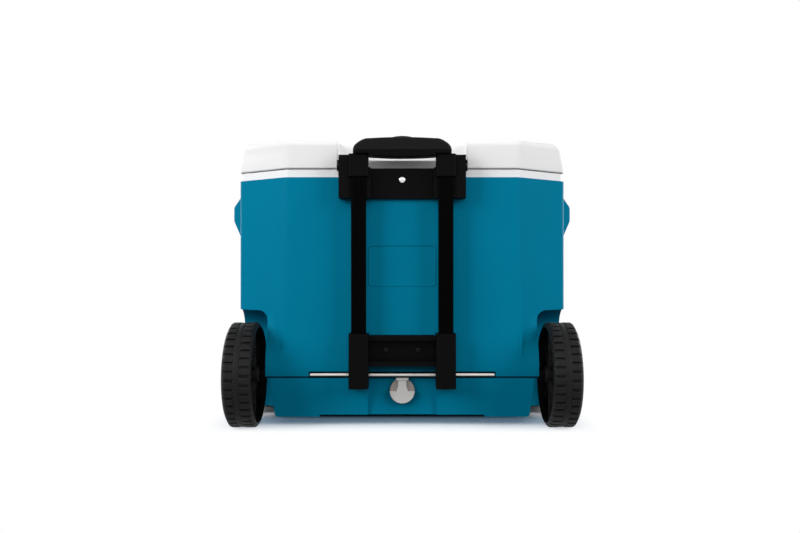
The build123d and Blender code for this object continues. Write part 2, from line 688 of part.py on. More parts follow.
def pan_screws(places, head_d, head_h):
    """Pan-head screws at (x, z) places on a bracket plate, their shanks through the rear panel."""
    with BuildPart(mode=Mode.PRIVATE) as screws:
        with BuildSketch(Plane.XZ.offset(-(rear - plate_t))):
            with Locations(*places):
                Circle(head_d / 2)
        extrude(amount=head_h)
        chamfer(screws.faces().sort_by(Axis.Y)[:len(places)].edges(), head_h / 2)
        with BuildSketch(Plane.XZ.offset(-(rear - plate_t))):
            with Locations(*places):
                Circle(screw_d / 2)
        extrude(amount=-(plate_t + screw_len))
        with BuildSketch(Plane.XZ.offset(-(rear - plate_t - head_h))):
            with Locations(*places):
                Rectangle(head_d / 2, recess_w)
                Rectangle(recess_w, head_d / 2)
        extrude(amount=-head_h / 2, mode=Mode.SUBTRACT)
    return screws.part


with BuildPart() as upper_bracket_screw:
    add(pan_screws([(0, upper_screw_z)], upper_head_d, upper_head_h))
save(upper_bracket_screw, "upper_bracket_screw", steel)

with BuildPart() as lower_bracket_screws:
    add(pan_screws([(-lower_screw_x, lower_screw_z), (lower_screw_x, lower_screw_z)],
                   lower_head_d, lower_head_h))
save(lower_bracket_screws, "lower_bracket_screws", black)


# ---- Telescoping tubes ---------------------------------------------------------------------------------

lock_z = bush_low_z + lock_rise
lock_reach = tube_w / 2 - tube_wall + groove_depth - slide_clear
inner_low_z = bush_low_z + bush_h - bush_socket
grip_ceiling_z = grip_top_z - grip_ceiling
yoke_top_z = grip_ceiling_z - flange_h - touch
inner_top_z = yoke_top_z - yoke_h - button_stroke - slack
grip_screw_low_z = grip_end_z - grip_drop + grip_screw_up
grip_screw_top_z = grip_ceiling_z - grip_wall
bush_half_w = tube_w / 2 - tube_wall - slide_clear
bush_half_t = tube_t / 2 - tube_wall - slide_clear
wedge_h = 2.0                            # the rod tip's slanted part
slant = lock_travel / button_stroke      # the slant turns the button's stroke into pin travel
tip_z = lock_z + lock_r - lock_travel    # lower end of the release rods

for name, side in sides:
    x = side * tube_x
    with BuildPart() as outer_tube:
        with BuildSketch(Plane.XY.offset(tube_low_z)):
            with Locations((x, tube_y)):
                RectangleRounded(tube_w, tube_t, tube_r)
                RectangleRounded(tube_w - 2 * tube_wall, tube_t - 2 * tube_wall, tube_r - tube_wall,
                                 mode=Mode.SUBTRACT)
            with Locations((x + side * (tube_w / 2 - tube_wall), tube_y)):
                Rectangle(2 * groove_depth, groove_w, mode=Mode.SUBTRACT)
        extrude(amount=collar_top_z - collar_cap - tube_low_z)
    save(outer_tube, "outer_tube_" + name, black)

    with BuildPart() as collar:
        with BuildSketch(Plane.XY.offset(collar_low_z)):
            with Locations((x, tube_y)):
                RectangleRounded(2 * collar_half_w, tube_t + 2 * collar_wall, tube_r)
        extrude(amount=collar_h)
        chamfer(collar.faces().sort_by(Axis.Z)[-1].edges(), collar_wall / 3)
        with BuildSketch(Plane.XY.offset(collar_low_z)):
            with Locations((x, tube_y)):
                RectangleRounded(tube_w + 2 * fit, tube_t + 2 * fit, tube_r)
        extrude(amount=collar_h - collar_cap, mode=Mode.SUBTRACT)
        with BuildSketch(Plane.XY.offset(collar_low_z)):
            with Locations((x, tube_y)):
                RectangleRounded(inner_w + 2 * slide_clear, inner_t + 2 * slide_clear, inner_r)
        extrude(amount=far, mode=Mode.SUBTRACT)
    save(collar, "collar_" + name, black)

    with BuildPart() as inner_tube:
        with BuildSketch(Plane.XY.offset(inner_low_z)):
            with Locations((x, tube_y)):
                RectangleRounded(inner_w, inner_t, inner_r)
                RectangleRounded(inner_w - 2 * inner_wall, inner_t - 2 * inner_wall,
                                 inner_r - inner_wall, mode=Mode.SUBTRACT)
        extrude(amount=inner_top_z - inner_low_z)
    save(inner_tube, "inner_tube_" + name, black)

    with BuildPart() as slide_bush:
        with BuildSketch(Plane.XY.offset(bush_low_z)):
            with Locations((x, tube_y)):
                RectangleRounded(2 * bush_half_w, 2 * bush_half_t, tube_r - tube_wall - slide_clear)
        extrude(amount=bush_h)
        with BuildSketch(Plane.XY.offset(inner_low_z)):
            with Locations((x, tube_y)):
                RectangleRounded(inner_w + 2 * fit, inner_t + 2 * fit, inner_r)
        extrude(amount=bush_socket, mode=Mode.SUBTRACT)
        with BuildSketch(Plane.XY.offset(lock_z)):
            with Locations((x, tube_y)):
                Rectangle(rod_w + slack, rod_w + slack)
        extrude(amount=bush_h, mode=Mode.SUBTRACT)
        with BuildSketch(Plane.YZ.offset(x - side * (lock_reach - lock_travel))):
            with Locations((tube_y, lock_z)):
                Rectangle(2 * lock_r + slack, 2 * lock_r + slack)
        extrude(amount=side * far, mode=Mode.SUBTRACT)
    save(slide_bush, "slide_bush_" + name, black)

    with BuildPart() as lock_pin:
        with BuildSketch(Plane.XZ.offset(-tube_y)):
            with Locations((x, lock_z)):
                Rectangle(2 * (lock_reach - lock_nose_in), 2 * lock_r)
        extrude(amount=lock_r, both=True)
        with BuildSketch(Plane.YZ.offset(x)):
            with Locations((tube_y, lock_z)):
                Circle(lock_r)
        extrude(amount=side * lock_reach)
        chamfer(lock_pin.faces().sort_by(Axis.X)[-1 if side > 0 else 0].edges(), lock_r / 6)
        with BuildSketch(Plane.XZ.offset(-tube_y)):
            inside = x - side * (rod_w / 2 + slide_clear)
            low_z = tip_z - button_stroke - slack
            outside = x + side * (rod_w / 2 + lock_travel + slide_clear)
            with BuildLine():
                Polyline(
                    (outside, lock_z + far / 50), (outside, low_z),
                    (inside + side * slant * (tip_z + wedge_h - low_z), low_z),
                    (inside, tip_z + wedge_h), (inside, lock_z + far / 50), close=True)
            make_face()
        extrude(amount=(rod_w + slack) / 2, both=True, mode=Mode.SUBTRACT)
    save(lock_pin, "lock_pin_" + name, steel)


# ---- Grip and release ------------------------------------------------------------------------------------

def grip_form():
    """The grip: sloping upper corners, ends over the collars, and a lower edge bowed down between them."""
    shoulder_z, corner_z = grip_top_z - grip_top_drop, grip_top_z - grip_corner_h
    corner_x = grip_half_x - grip_corner_w
    low_z, bow_z = grip_end_z + slide_clear, grip_end_z - grip_drop
    with BuildPart(mode=Mode.PRIVATE) as form:
        with BuildSketch(Plane.XZ.offset(-tube_y)) as front_view:
            with BuildLine():
                ThreePointArc((-bow_x, bow_z), (0, grip_mid_z), (bow_x, bow_z))
                Polyline((bow_x, bow_z), (bow_x, low_z), (grip_half_x, low_z), (grip_half_x, corner_z),
                         (corner_x, shoulder_z))
                ThreePointArc((corner_x, shoulder_z), (0, grip_top_z), (-corner_x, shoulder_z))
                Polyline((-corner_x, shoulder_z), (-grip_half_x, corner_z), (-grip_half_x, low_z),
                         (-bow_x, low_z), (-bow_x, bow_z))
            make_face()
            fillet(front_view.vertices().filter_by_position(Axis.Y, corner_z - fit, grip_top_z),
                   grip_corner_r)
        extrude(amount=grip_t / 2, both=True)
        ends = form.faces().sort_by(Axis.Y)
        rims = ends[0].edges() + ends[-1].edges()
        fillet(rims.filter_by_position(Axis.Z, low_z + fit, grip_top_z), grip_edge_r)
        bows = form.edges().filter_by(GeomType.CIRCLE)
        fillet(bows.filter_by_position(Axis.Z, grip_mid_z - fit, bow_z), grip_low_r)
    return form.part


def grip_hollow():
    """The space inside the grip for yoke, spring and tubes."""
    with BuildPart(mode=Mode.PRIVATE) as space:
        with BuildSketch(Plane.XZ.offset(-tube_y)):
            with BuildLine():
                room_x, low_x = tube_x - inner_w / 2 - grip_wall, bow_x - grip_wall
                end_z, bow_z = grip_end_z + grip_wall, grip_end_z - grip_drop + grip_wall
                Polyline((-low_x, bow_z), (-low_x, end_z), (-room_x, end_z), (-room_x, grip_ceiling_z),
                         (room_x, grip_ceiling_z), (room_x, end_z), (low_x, end_z), (low_x, bow_z))
                ThreePointArc((low_x, bow_z), (0, grip_mid_z + grip_wall), (-low_x, bow_z))
            make_face()
        extrude(amount=grip_t / 2 - grip_wall, both=True)
        with BuildSketch(Plane.XY.offset(inner_top_z)):
            with Locations((0, tube_y)):
                Rectangle(2 * tube_x + rod_w + 2 * slack, yoke_t + slack)
        extrude(amount=grip_ceiling_z - inner_top_z)
        with BuildSketch(Plane.XY.offset(grip_mid_z)):
            with Locations((-tube_x, tube_y), (tube_x, tube_y)):
                RectangleRounded(inner_w + 2 * fit, inner_t + 2 * fit, inner_r)
        extrude(amount=inner_top_z - grip_mid_z)
        with BuildSketch(Plane.XY.offset(inner_top_z)):
            with Locations((0, tube_y)):
                RectangleRounded(2 * (button_half_x + slide_clear), 2 * (button_half_y + slide_clear),
                                 button_r)
        extrude(amount=far / 20)
    return space.part


def screw_posts(radius, low_z, high_z):
    """Upright cylinders at the grip's two screws, one on each side of the yoke."""
    with BuildPart(mode=Mode.PRIVATE) as posts:
        with BuildSketch(Plane.XY.offset(low_z)):
            with Locations((-grip_screw_x, tube_y + grip_screw_y), (grip_screw_x, tube_y - grip_screw_y)):
                Circle(radius)
        extrude(amount=high_z - low_z)
    return posts.part


with BuildPart() as grip_upper:
    add(grip_form())
    add(grip_hollow(), mode=Mode.SUBTRACT)
    add(screw_posts(grip_screw_d, grip_split_z, grip_ceiling_z + fit))
    add(screw_posts(grip_screw_d / 2, grip_mid_z, grip_screw_top_z), mode=Mode.SUBTRACT)
    split(bisect_by=Plane.XY.offset(grip_split_z), keep=Keep.TOP)
save(grip_upper, "grip_upper", black)

with BuildPart() as grip_lower:
    add(grip_form())
    add(grip_hollow(), mode=Mode.SUBTRACT)
    with BuildSketch(Plane.XY.offset(grip_mid_z + grip_wall)):
        with Locations((-spring_half_x, tube_y), (spring_half_x, tube_y)):
            Rectangle(spring_seat, spring_w + spring_seat / 2)
    extrude(amount=grip_split_z - grip_mid_z - grip_wall)
    add(screw_posts(grip_screw_d, grip_screw_low_z, grip_split_z))
    add(screw_posts(grip_screw_d / 2, grip_mid_z - grip_bow, grip_split_z), mode=Mode.SUBTRACT)
    split(bisect_by=Plane.XY.offset(grip_split_z), keep=Keep.BOTTOM)
save(grip_lower, "grip_lower", black)

with BuildPart() as grip_screws:
    add(screw_posts(grip_screw_d / 2, grip_screw_low_z, grip_screw_top_z))
save(grip_screws, "grip_screws", steel)

with BuildPart() as release_button:
    with BuildSketch(Plane.XZ.offset(-tube_y)) as dome:
        low_z = grip_ceiling_z - touch
        side_z = grip_top_z + button_proud - button_side
        with BuildLine():
            Line((-button_half_x, low_z), (button_half_x, low_z))
            Line((button_half_x, low_z), (button_half_x, side_z))
            ThreePointArc((button_half_x, side_z), (0, grip_top_z + button_proud),
                          (-button_half_x, side_z))
            Line((-button_half_x, side_z), (-button_half_x, low_z))
        make_face()
    extrude(amount=button_half_y, both=True)
    with BuildSketch(Plane.XY.offset(low_z)):
        with Locations((0, tube_y)):
            RectangleRounded(2 * button_half_x, 2 * button_half_y, button_r)
    extrude(amount=far, mode=Mode.INTERSECT)
    chamfer(release_button.faces().sort_by(Axis.Z)[-1].edges(), button_r / 5)
    with BuildSketch(Plane.XY.offset(grip_ceiling_z - flange_h)):
        with Locations((0, tube_y)):
            RectangleRounded(2 * (button_half_x + flange_w), 2 * (button_half_y + flange_w), button_r)
    extrude(amount=flange_h - touch)
save(release_button, "release_button", black)

with BuildPart() as release_yoke:
    with BuildSketch(Plane.XY.offset(yoke_top_z - yoke_h)):
        with Locations((0, tube_y)):
            Rectangle(2 * (tube_x + rod_w / 2), yoke_t)
    extrude(amount=yoke_h)
    for side in (-1, 1):
        with BuildSketch(Plane.XY.offset(tip_z)):
            with Locations((side * tube_x, tube_y)):
                Rectangle(rod_w, rod_w)
        extrude(amount=yoke_top_z - yoke_h - tip_z)
        with BuildSketch(Plane.XZ.offset(-tube_y)):
            inside = side * (tube_x - rod_w / 2)
            with BuildLine():
                Polyline((inside, tip_z + wedge_h), (inside + side * slant * wedge_h, tip_z),
                         (inside - side, tip_z - wedge_h), (inside - side, tip_z + wedge_h), close=True)
            make_face()
        extrude(amount=rod_w, both=True, mode=Mode.SUBTRACT)
save(release_yoke, "release_yoke", steel)

with BuildPart() as button_spring:
    with BuildSketch(Plane.XZ.offset(-tube_y)):
        with BuildLine():
            rest_z = grip_split_z + touch
            peak_z = yoke_top_z - yoke_h - touch
            ThreePointArc((-spring_half_x, rest_z), (0, peak_z - spring_t), (spring_half_x, rest_z))
            Line((spring_half_x, rest_z), (spring_half_x, rest_z + spring_t))
            ThreePointArc((spring_half_x, rest_z + spring_t), (0, peak_z), (-spring_half_x, rest_z + spring_t))
            Line((-spring_half_x, rest_z + spring_t), (-spring_half_x, rest_z))
        make_face()
    extrude(amount=spring_w / 2, both=True)
save(button_spring, "button_spring", steel)


# ---- Axle and wheels ----------------------------------------------------------------------------------------

out_x = wheel_inner_x + wheel_w          # outer face of a wheel
hub_out_x = out_x - hub_short
root_r = wheel_r - lug_h

with BuildPart() as axle_rod:
    with BuildSketch(Plane.YZ):
        with Locations((axle_y, axle_z)):
            Circle(axle_d / 2)
    extrude(amount=hub_out_x + rod_proud, both=True)
    chamfer(axle_rod.edges().filter_by(GeomType.CIRCLE), axle_d / 12)
save(axle_rod, "axle_rod", steel)

for name, side in sides:
    with BuildPart() as axle_spacer:
        with BuildSketch(Plane.YZ.offset(side * (well_x + end_play))):
            with Locations((axle_y, axle_z)):
                Circle(spacer_d / 2)
                Circle(axle_d / 2, mode=Mode.SUBTRACT)
        extrude(amount=side * (well_side_gap - 2 * end_play))
    save(axle_spacer, "axle_spacer_" + name, black)

    with BuildPart() as push_nut:
        with BuildSketch(Plane.YZ.offset(side * (hub_out_x + end_play))):
            with Locations((axle_y, axle_z)):
                Circle(nut_d / 2)
                Circle(axle_d / 2, mode=Mode.SUBTRACT)
        extrude(amount=side * nut_t)
    save(push_nut, "push_nut_" + name, steel)


def tread_lugs(x0, x1, turn):
    """One row of tread lugs from x0 to x1, turned by turn degrees, their corners on the wheel's circle."""
    top_r = (wheel_r ** 2 - (lug_w / 2) ** 2) ** 0.5
    with BuildPart(mode=Mode.PRIVATE) as lugs:
        with BuildSketch(Plane.YZ.offset(x0)):
            with Locations(Location((axle_y, axle_z), turn)):
                with PolarLocations(top_r - lug_h, lug_count):
                    Rectangle(2 * lug_h, lug_w)
        extrude(amount=x1 - x0)
    return lugs.part


def wheel_section():
    """Half section of the wheel in its axle plane: tread, web, hub, hollow from inside and outside."""
    bore_y = axle_y + axle_d / 2 + axle_clear
    hub_y, root_y, rim_y = axle_y + hub_r, axle_y + root_r, axle_y + root_r - rim_t
    band_y = axle_y + wheel_r - lug_h / 5
    web_x = out_x - web_in
    with BuildSketch(Plane.XY.offset(axle_z), mode=Mode.PRIVATE) as section:
        with BuildLine():
            Polyline(
                (wheel_inner_x, hub_y), (wheel_inner_x, bore_y), (hub_out_x, bore_y), (hub_out_x, hub_y),
                (web_x, hub_y + rim_t), (web_x, root_y - rim_lip - web_slope),
                (out_x, root_y - rim_lip), (out_x, root_y - web_slope), (out_x - rim_chamfer, root_y),
                (out_x - band_out, root_y), (out_x - band_out, band_y),
                (out_x - band_in, band_y), (out_x - band_in, root_y), (wheel_inner_x, root_y),
                (wheel_inner_x, rim_y), (web_x - web_t - web_slope, rim_y),
                (web_x - web_t, rim_y - web_slope), (web_x - web_t, hub_y), close=True)
        make_face()
    return section.sketch


for name, side in sides:
    with BuildPart() as wheel:
        add(wheel_section())
        revolve(axis=Axis((0, axle_y, axle_z), (1, 0, 0)))
        add(tread_lugs(out_x - band_out, out_x - rim_chamfer, 0))
        add(tread_lugs(wheel_inner_x, out_x - band_in, 180 / lug_count))
        with BuildSketch(Plane.YZ.offset(wheel_inner_x + web_slope)):
            with Locations((axle_y, axle_z)):
                with PolarLocations((hub_r + root_r - rim_t) / 2, rib_count):
                    Rectangle(root_r - rim_t - hub_r + rib_t, rib_t)
        extrude(amount=wheel_w - web_in - web_t - web_slope)
        with BuildSketch(Plane.YZ.offset(out_x - web_in - web_t / 2)):
            with Locations((axle_y, axle_z)):
                with PolarLocations((hub_r + root_r - rim_lip) / 2, rib_count):
                    SlotOverall(root_r - rim_lip - hub_r, spoke_w)
        extrude(amount=spoke_h + web_t / 2)
        if side < 0:
            mirror(about=Plane.YZ)
            split(bisect_by=Plane.YZ, keep=Keep.BOTTOM)
    save(wheel, "wheel_" + name, black)


# ---- Drain --------------------------------------------------------------------------------------------------

spout_y = recess_y - gasket_t - drain_flange_t      # the spout's outer face
cap_hinge_y = spout_y - cap_t / 2 - slide_clear
spout_end_y = rear + insulation + tub_floor_r + spout_in
knuckle_r = cap_pin_d / 2 + cap_knuckle
ear_x = cap_stem_w / 2 + slide_clear


def hinge_line_cylinder(radius, half_length, skip=0):
    """A cylinder along the cap's hinge line, both ways from the middle, less skip at the middle."""
    with BuildPart(mode=Mode.PRIVATE) as rod:
        with BuildSketch(Plane.YZ.offset(skip)):
            with Locations((cap_hinge_y, cap_hinge_z)):
                Circle(radius)
        extrude(amount=half_length - skip)
        mirror(about=Plane.YZ)
    return rod.part


with BuildPart() as drain_spout:
    with BuildSketch(Plane.XZ.offset(-(recess_y - gasket_t))):
        with Locations((0, drain_z)):
            Circle(drain_d / 2)
    extrude(amount=drain_flange_t)
    chamfer(drain_spout.faces().sort_by(Axis.Y)[0].edges(), drain_flange_t / 5)
    with BuildSketch(Plane.XZ.offset(-(recess_y - gasket_t))):
        with Locations((0, drain_z)):
            Circle(drain_tube_d / 2)
    extrude(amount=-(spout_end_y - recess_y + gasket_t))
    with BuildSketch(Plane.XZ.offset(-spout_y)):
        with Locations((0, cap_hinge_z)):
            Rectangle(2 * (ear_x + cap_ear_t), 2 * knuckle_r)
    extrude(amount=-drain_flange_t)
    add(hinge_line_cylinder(knuckle_r, ear_x + cap_ear_t, ear_x))
    add(mirrored_boxes(ear_x, ear_x + cap_ear_t, cap_hinge_y, spout_y + drain_flange_t / 2,
                       cap_hinge_z - knuckle_r, cap_hinge_z + knuckle_r))
    with BuildSketch(Plane.YZ):
        with Locations((cap_hinge_y, cap_hinge_z)):
            Circle(knuckle_r + slide_clear)
    extrude(amount=ear_x, both=True, mode=Mode.SUBTRACT)
    with BuildSketch(Plane.YZ):
        with Locations((cap_hinge_y, cap_hinge_z)):
            Circle(cap_pin_d / 2)
    extrude(amount=far, both=True, mode=Mode.SUBTRACT)
    with BuildSketch(Plane.XZ.offset(-spout_y)):
        with Locations((0, drain_z)):
            Circle(drain_bore_d / 2)
    extrude(amount=-far, mode=Mode.SUBTRACT)
save(drain_spout, "drain_spout", grey)

with BuildPart() as drain_gasket:
    with BuildSketch(Plane.XZ.offset(-recess_y)):
        with Locations((0, drain_z)):
            Circle(drain_d / 2 - gasket_t)
            Circle(drain_tube_d / 2 + fit, mode=Mode.SUBTRACT)
    extrude(amount=gasket_t)
save(drain_gasket, "drain_gasket", black)

with BuildPart() as drain_cap:
    with BuildSketch(Plane.XZ.offset(-(spout_y - slide_clear))) as face:
        with Locations((0, drain_z)):
            Circle(drain_d / 2)
            Rectangle(drain_d, drain_d, align=(Align.CENTER, Align.MIN), mode=Mode.SUBTRACT)
            Circle(cap_hub_r)
        with Locations((0, drain_z)):
            Rectangle(cap_stem_w, cap_hinge_z - drain_z, align=(Align.CENTER, Align.MIN))
    extrude(amount=cap_t)
    chamfer(drain_cap.faces().sort_by(Axis.Y)[0].edges(), cap_t / 5)
    with BuildSketch(Plane.XZ.offset(-(spout_y - slide_clear))):
        with Locations((0, drain_z)):
            Circle(drain_bore_d / 2 - slack)
    extrude(amount=-cap_plug_l, taper=plug_taper)
    add(hinge_line_cylinder(knuckle_r, cap_stem_w / 2))
    with BuildSketch(Plane.YZ):
        with Locations((cap_hinge_y, cap_hinge_z)):
            Circle(cap_pin_d / 2 + axle_clear)
    extrude(amount=cap_stem_w, both=True, mode=Mode.SUBTRACT)
save(drain_cap, "drain_cap", grey)

with BuildPart() as drain_cap_pin:
    add(hinge_line_cylinder(cap_pin_d / 2, ear_x + cap_ear_t))
save(drain_cap_pin, "drain_cap_pin", steel)
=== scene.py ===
import bpy
import bmesh
import math
import numpy as np
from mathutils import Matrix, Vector


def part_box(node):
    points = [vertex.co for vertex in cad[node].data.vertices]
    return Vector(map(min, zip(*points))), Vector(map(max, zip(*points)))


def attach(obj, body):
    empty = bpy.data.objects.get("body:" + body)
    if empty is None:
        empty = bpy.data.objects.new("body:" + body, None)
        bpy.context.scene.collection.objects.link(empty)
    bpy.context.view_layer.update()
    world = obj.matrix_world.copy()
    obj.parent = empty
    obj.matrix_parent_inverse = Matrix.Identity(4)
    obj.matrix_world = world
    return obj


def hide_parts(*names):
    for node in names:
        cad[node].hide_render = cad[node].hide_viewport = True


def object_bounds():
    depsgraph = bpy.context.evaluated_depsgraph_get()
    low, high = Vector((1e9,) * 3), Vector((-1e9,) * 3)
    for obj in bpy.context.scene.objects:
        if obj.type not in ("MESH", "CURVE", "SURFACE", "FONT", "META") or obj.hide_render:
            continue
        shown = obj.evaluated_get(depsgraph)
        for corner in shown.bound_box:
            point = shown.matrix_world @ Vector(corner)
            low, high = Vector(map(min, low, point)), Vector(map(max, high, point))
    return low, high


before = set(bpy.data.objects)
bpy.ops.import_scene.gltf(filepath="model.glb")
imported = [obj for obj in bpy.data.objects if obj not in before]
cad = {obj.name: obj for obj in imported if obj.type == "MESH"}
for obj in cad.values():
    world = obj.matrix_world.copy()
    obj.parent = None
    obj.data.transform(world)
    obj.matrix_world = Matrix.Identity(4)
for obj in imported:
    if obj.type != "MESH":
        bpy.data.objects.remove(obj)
cad_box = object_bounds()


# ---- Body shell -----------------------------------------------------------------------------
# The coloured outside of the cooler: one injection moulding of polypropylene, satin with a
# fine spark-eroded grain. Its edges are broken by under a millimetre, as the mould's are.

class Feed:
    """A shader socket in a sum: its operators, with feeds or numbers, add the Math nodes."""

    def __init__(self, nodes, socket):
        self.nodes, self.socket = nodes, socket

    def __add__(self, other):
        return self.nodes.math("ADD", self, other)

    def __sub__(self, other):
        return self.nodes.math("SUBTRACT", self, other)

    def __rsub__(self, other):
        return self.nodes.math("SUBTRACT", other, self)

    def __mul__(self, other):
        return self.nodes.math("MULTIPLY", self, other)

    def __abs__(self):
        return self.nodes.math("ABSOLUTE", self, 0)

    __radd__ = __add__
    __rmul__ = __mul__


class Nodes:
    """A node tree being filled: node() makes each node, with its settings and its sockets."""

    def __init__(self, tree):
        self.tree = tree

    def node(self, kind, settings=None, sockets=None, out=0):
        made = self.tree.nodes.new(kind)
        for name, value in (settings or {}).items():
            setattr(made, name, value)
        for name, value in (sockets or {}).items():
            if isinstance(value, Feed):
                self.tree.links.new(value.socket, made.inputs[name])
            else:
                made.inputs[name].default_value = value
        return Feed(self, made.outputs[out])

    def math(self, operation, a, b):
        return self.node("ShaderNodeMath", {"operation": operation}, {0: a, 1: b})

    def larger(self, a, b):
        return self.math("MAXIMUM", a, b)


class Finish(Nodes):
    """A material being made. Its colour and gloss start even; feed() makes one vary."""

    def __init__(self, name, colour, roughness, **shader):
        self.material = bpy.data.materials.new(name)
        self.material.use_nodes = True
        self.material.diffuse_color = (*colour, 1)
        super().__init__(self.material.node_tree)
        self.shader = self.tree.nodes["Principled BSDF"]
        self.shader.inputs["Base Color"].default_value = (*colour, 1)
        self.shader.inputs["Roughness"].default_value = roughness
        for socket, value in shader.items():
            self.shader.inputs[socket.replace("_", " ")].default_value = value
        self.place = self.node("ShaderNodeTexCoord", out="Object")

    def noise(self, scale, detail=2.0, stretch=(1, 1, 1)):
        """Noise with scale features to the metre, longer where an axis's stretch is under 1."""
        at = self.node("ShaderNodeMapping", None, {"Vector": self.place, "Scale": stretch})
        return self.node("ShaderNodeTexNoise", None,
                         {"Vector": at, "Scale": scale, "Detail": detail})

    def step(self, value, low, high):
        """0 where value is under low, 1 over high, and a ramp between."""
        return self.node("ShaderNodeMapRange", {"interpolation_type": "SMOOTHSTEP"},
                         {"Value": value, "From Min": low, "From Max": high})

    def between(self, value, rise, fall):
        """1 where value lies between two ramps, each from a low to a high, and 0 outside."""
        return self.step(value, *rise) * (1 - self.step(value, *fall))

    def axis(self, name):
        """Distance along X, Y or Z from the object's origin."""
        return self.node("ShaderNodeSeparateXYZ", None, {0: self.place}, out=name)

    def tint(self, mask, a, b):
        """Colour a where the mask is 0 and b where it is 1. Either may be a feed."""
        a, b = (c if isinstance(c, Feed) else (*c, 1) for c in (a, b))
        return self.node("ShaderNodeMix", {"data_type": "RGBA"}, {0: mask, 6: a, 7: b}, out=2)

    def feed(self, socket, value):
        self.tree.links.new(value.socket, self.shader.inputs[socket])

    def fed(self, socket):
        """What feeds a socket so far."""
        return Feed(self, self.shader.inputs[socket].links[0].from_socket)

    def bump(self, height, depth):
        """Relief depth metres deep from a height of 0 to 1."""
        self.feed("Normal", self.node("ShaderNodeBump", None,
                                      {"Height": height, "Distance": depth}))


def moulded(name, colour, roughness, grain, depth, scuff=0.25, **shader):
    """Moulded plastic: grain of so many features to the metre and so deep, a slow drift in
    tone and gloss, and upright handling marks whose strength is scuff."""
    finish = Finish(name, colour, roughness, **shader)
    tone, gloss, mark_tone, mark_gloss, mark_height = 0.07, 0.05, 0.05, 0.08, 0.2
    drift, fine = finish.noise(7.0), finish.noise(grain)
    marks = finish.step(finish.noise(70.0, 6.0, (1, 1, 0.3)), 0.64, 0.74)
    body = finish.tint(drift, [c * (1 - tone) for c in colour], [c * (1 + tone) for c in colour])
    rubbed = [c + (1 - c) * mark_tone * scuff for c in colour]
    finish.feed("Base Color", finish.tint(marks * scuff, body, rubbed))
    finish.feed("Roughness", roughness - gloss + drift * gloss + fine * gloss
                + marks * (mark_gloss * scuff))
    finish.bump(fine + marks * mark_height, depth)
    return finish


def soften_edges(piece, edge):
    """Rounds a solid's edges of over 40 degrees by edge metres, as the mould does, once its
    doubles are merged and its flat faces joined."""
    weld = piece.modifiers.new("weld", "WELD")
    weld.merge_threshold = 1e-6
    faces = piece.modifiers.new("faces", "DECIMATE")
    faces.decimate_type, faces.angle_limit = "DISSOLVE", math.radians(0.4)
    rounding = piece.modifiers.new("rounding", "BEVEL")
    rounding.width, rounding.segments = edge, 2
    rounding.limit_method, rounding.angle_limit = "ANGLE", math.radians(40)
    rounding.miter_outer = "MITER_ARC"
    piece.modifiers.new("normals", "WEIGHTED_NORMAL")


def dress(finish, *nodes, edge=0.0):
    """Gives CAD nodes their finish, and softened edges where edge isn't 0."""
    for node in nodes:
        piece = cad[node]
        piece.data.materials.clear()
        piece.data.materials.append(finish.material)
        if edge:
            soften_edges(piece, edge)


shell_grain, grain_depth = 1500.0, 0.00004
shell_plastic = moulded("shell_plastic", (0.0, 0.19, 0.321), 0.5, shell_grain, grain_depth,
                        scuff=0.1, Specular_IOR_Level=0.02)
x, y, z = (shell_plastic.axis(name) for name in "XYZ")

# The field inside the bare label frame lies deeper than the panel round it. Its edge is a
# rounded rectangle: a smaller rectangle, and the root of the sum of two squares away from it.
field_half_w, field_half_h, field_z, field_depth = 0.0475, 0.0265, 0.2635, 0.0008
field_corner, rear_side = (0.0042, 0.0056), (-0.13, -0.12)
on_rear = 1 - shell_plastic.step(y, *rear_side)
out_x = shell_plastic.larger(abs(x) - field_half_w, 0)
out_z = shell_plastic.larger(abs(z - field_z) - field_half_h, 0)
from_field = shell_plastic.math("POWER", out_x * out_x + out_z * out_z, 0.5)
panel = 1 - on_rear * (1 - shell_plastic.step(from_field, *field_corner))
grain = shell_plastic.noise(shell_grain) * (grain_depth / field_depth)
shell_plastic.bump(panel + grain, field_depth)

# Painted shade darkens the groove over the lower rear panel and the channel of the axle, standing
# in for the shadow their lips cast. Both start at the same height.
channel_foot, channel_half_w = (0.0793, 0.0797), (0.152, 0.153)
groove_shade_colour, painted_shade_share = (0.0, 0.006, 0.009), 0.92
in_groove = (shell_plastic.between(z, channel_foot, (0.0824, 0.0829))
             * shell_plastic.between(y, (-0.1499, -0.1496), (-0.1475, -0.147)))
in_channel = (shell_plastic.between(z, channel_foot, (0.0903, 0.0907))
              * shell_plastic.between(y, (-0.1516, -0.1512), (-0.138, -0.137))
              * (1 - shell_plastic.step(abs(x), *channel_half_w)))
painted_groove_shade = shell_plastic.larger(in_groove, in_channel) * painted_shade_share
shell_plastic.feed("Base Color",
                   shell_plastic.tint(painted_groove_shade, shell_plastic.fed("Base Color"), groove_shade_colour))


def smooth(value, low, high):
    """0 under low, 1 over high, and 3t^2 - 2t^3 between."""
    t = np.clip((value - low) / (high - low), 0, 1)
    return t * t * (3 - 2 * t)


